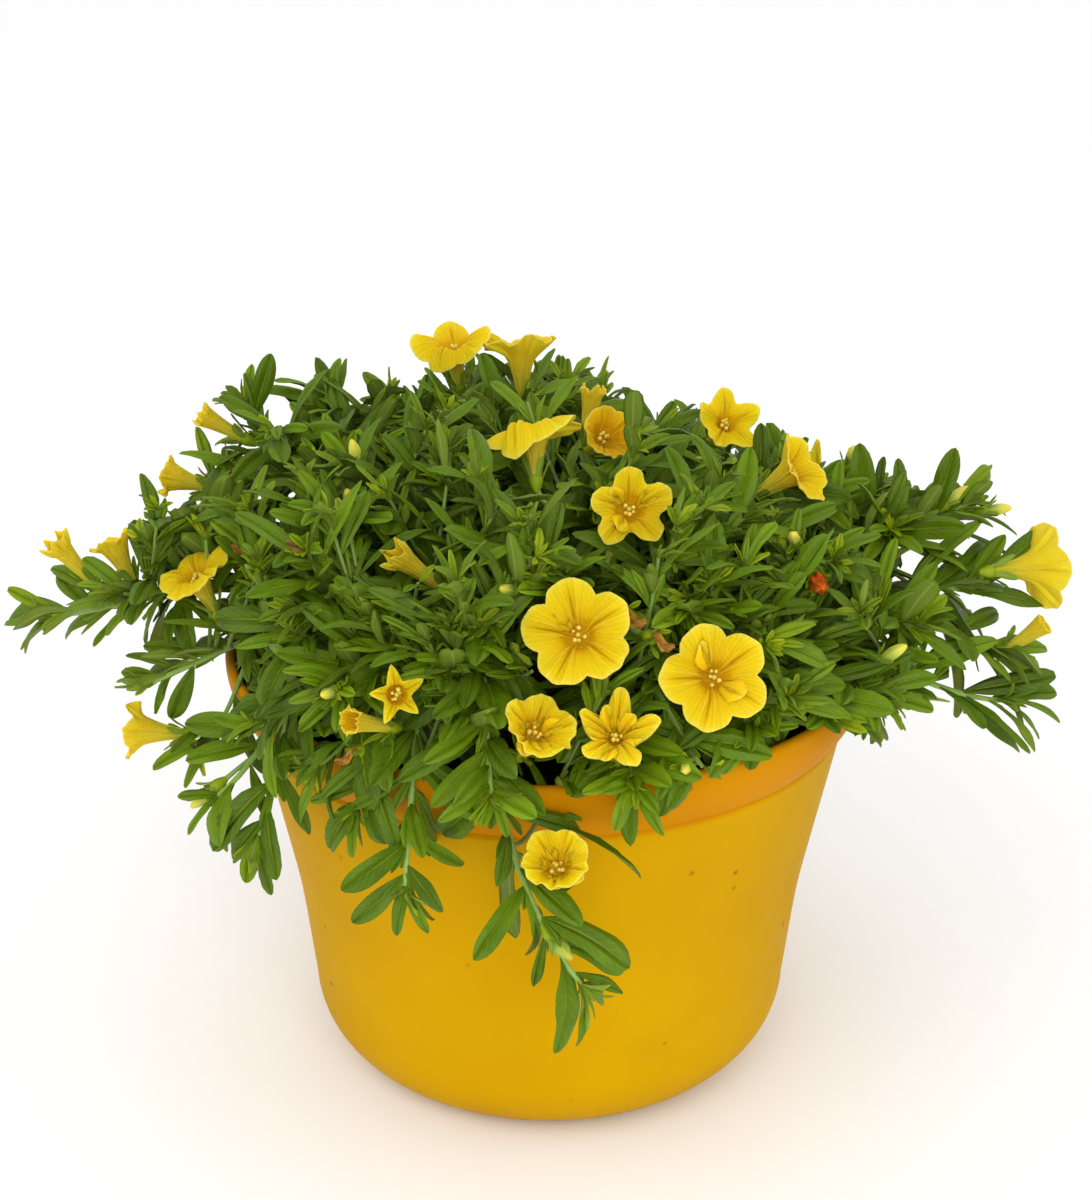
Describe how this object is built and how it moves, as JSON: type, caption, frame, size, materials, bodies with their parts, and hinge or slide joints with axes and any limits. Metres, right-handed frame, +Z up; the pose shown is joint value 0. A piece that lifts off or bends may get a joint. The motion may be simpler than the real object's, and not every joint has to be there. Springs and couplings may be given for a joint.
{
  "type": "calibrachoa in a pot",
  "caption": "Mounded calibrachoa with leafy stems that spill over the rim and small yellow trumpet flowers, growing in a round tapered plastic pot",
  "frame": {"origin": "centre of the pot's flat base, where it stands", "axes": "+Z up along the pot's axis, -Y towards the side where a stem trails down over the rim, +X along the plant's widest spread"},
  "size_m": [0.2528, 0.2179, 0.1791],
  "materials": {
    "pot": "satin",
    "compost": "matte",
    "leaf": "matte",
    "petal": "matte"
  },
  "bodies": {
    "root": {"pot": "pot", "soil": "compost", "spray_back_a": "leaf", "spray_back_b": "leaf", "spray_back_c": "leaf", "spray_back_d": "leaf", "spray_back_left": "leaf", "spray_back_right": "leaf", "spray_crown": "leaf", "spray_far_left": "leaf", "spray_far_right": "leaf", "spray_front_corner": "leaf", "spray_front_left": "leaf", "spray_front_right": "leaf", "spray_front_trailing": "leaf", "spray_inner_back": "leaf", "spray_inner_back_left": "leaf", "spray_inner_front": "leaf", "spray_inner_front_left": "leaf", "spray_inner_front_right": "leaf", "spray_inner_left": "leaf", "spray_inner_right": "leaf", "spray_left_back": "leaf", "spray_left_front": "leaf", "spray_left_low": "leaf", "spray_left_mid": "leaf", "spray_right_back": "leaf", "spray_right_front": "leaf", "spray_right_low": "leaf", "bloom_back_far_left": "petal", "bloom_back_far_right": "petal", "bloom_back_left": "petal", "bloom_back_mid_left": "petal", "bloom_back_mid_right": "petal", "bloom_back_middle": "petal", "bloom_back_upright": "petal", "bloom_cup": "petal", "bloom_far_right": "petal", "bloom_front": "petal", "bloom_front_right": "petal", "bloom_left_bud": "petal", "bloom_left_folded": "petal", "bloom_left_low": "petal", "bloom_left_narrow": "petal", "bloom_left_pale": "petal", "bloom_left_side": "petal", "bloom_left_small": "petal", "bloom_left_trumpet": "petal", "bloom_right_bud": "petal", "bloom_right_funnel": "petal", "bloom_right_star": "petal", "bloom_small_star": "petal", "bloom_star": "petal", "bloom_top_orange": "petal", "bloom_top_side": "petal", "bloom_top_wilted": "petal", "bloom_trailing": "petal", "bloom_upper": "petal"}
  },
  "joints": []
}
